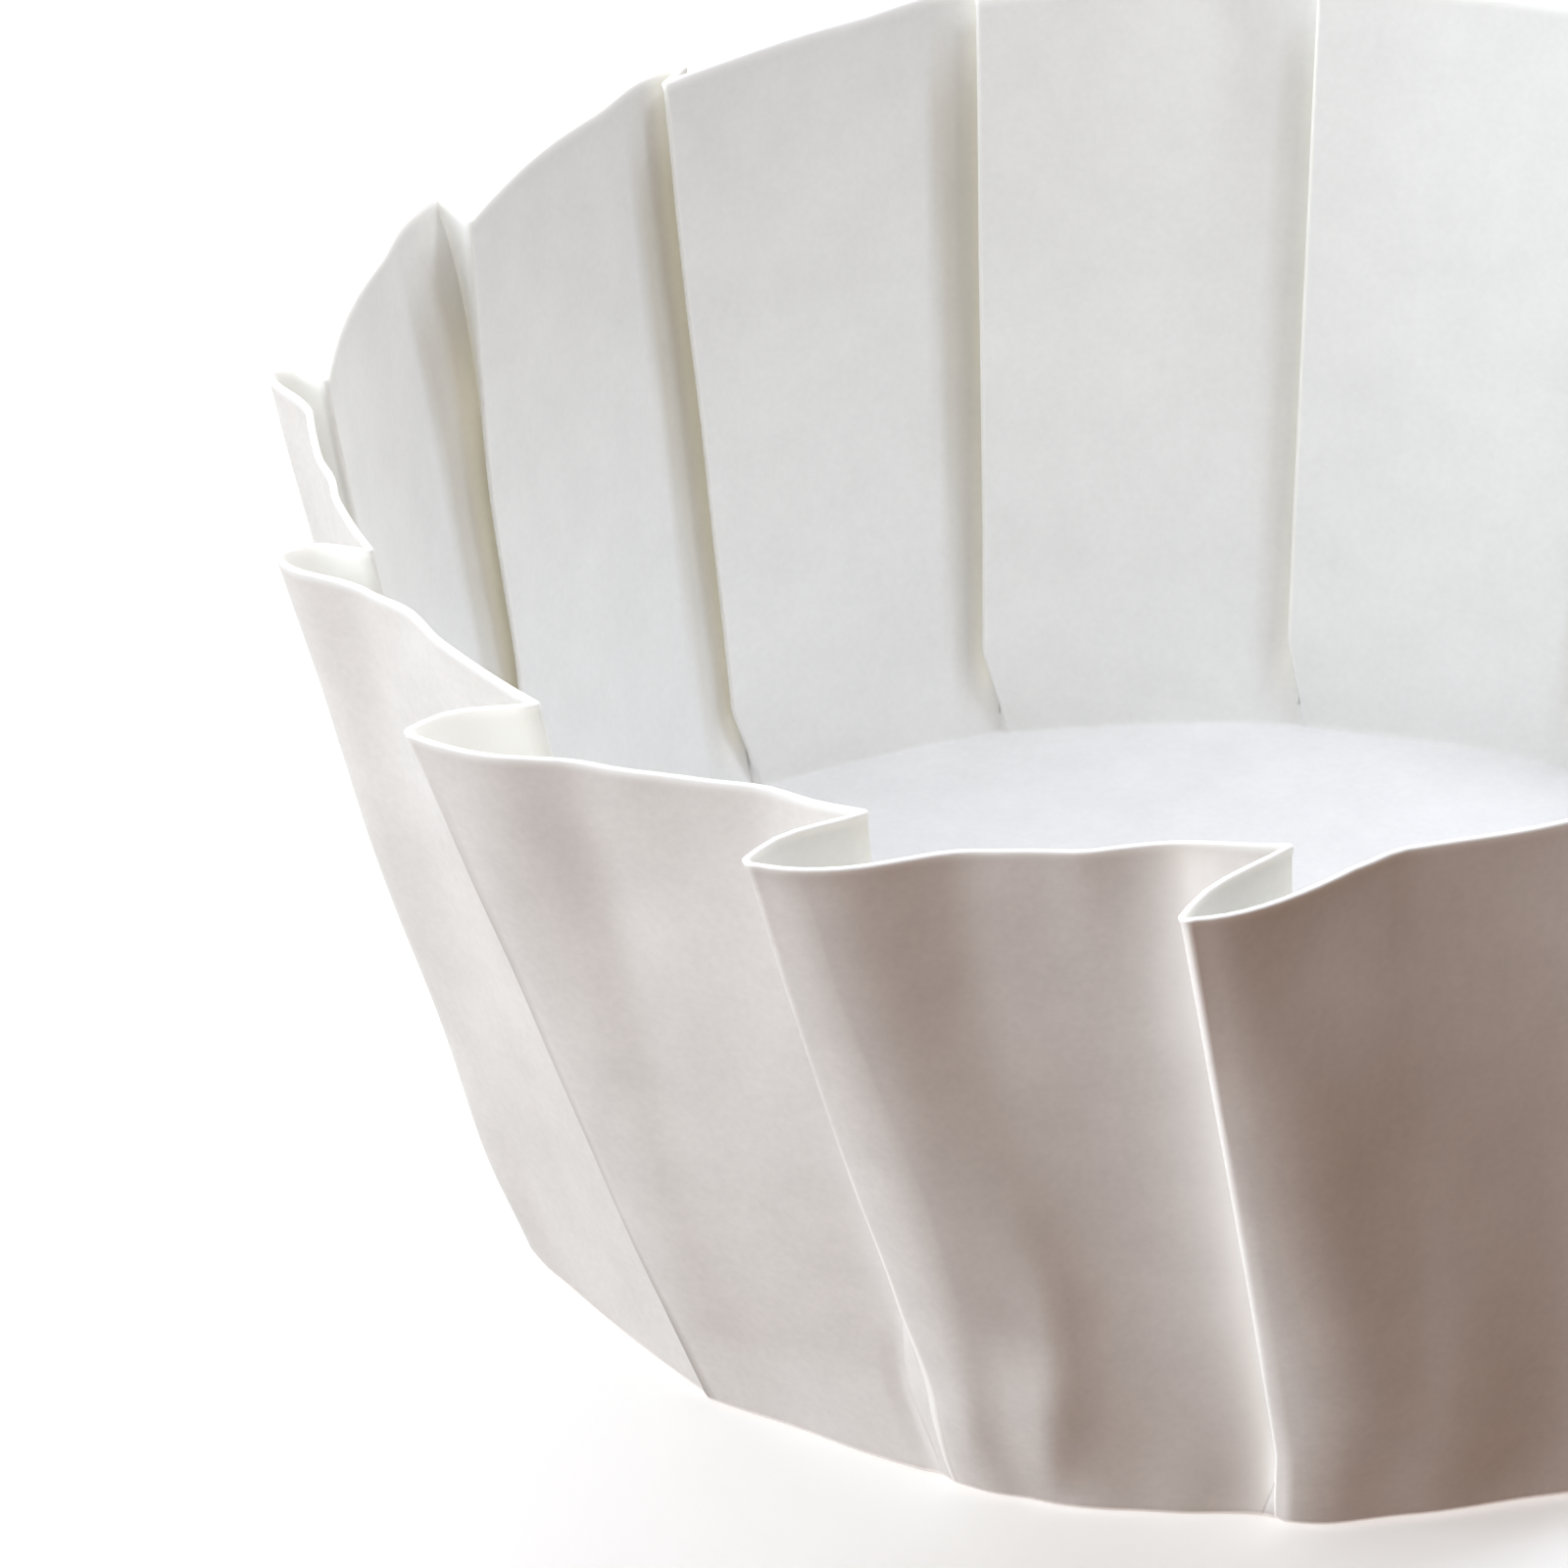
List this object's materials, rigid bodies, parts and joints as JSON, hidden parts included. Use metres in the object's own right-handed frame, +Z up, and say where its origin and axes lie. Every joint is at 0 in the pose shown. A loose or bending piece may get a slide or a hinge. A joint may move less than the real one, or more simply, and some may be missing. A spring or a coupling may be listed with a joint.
{
  "type": "air fryer paper liner",
  "caption": "Round paper liner for an air fryer basket: a flat-bottomed cup of thin greaseproof paper with a flared wall of knife pleats.",
  "frame": {"origin": "middle of the flat bottom, on its underside, which is the surface that the liner stands on", "axes": "+Z up out of the mouth, along the cup's axis; -Y towards the side that the picture shows nearest"},
  "size_m": [0.1956, 0.2011, 0.0805],
  "materials": {
    "paper": "smooth white greaseproof paper, matt to faintly glazed"
  },
  "bodies": {
    "root": {"paper_liner": "paper"}
  },
  "joints": []
}
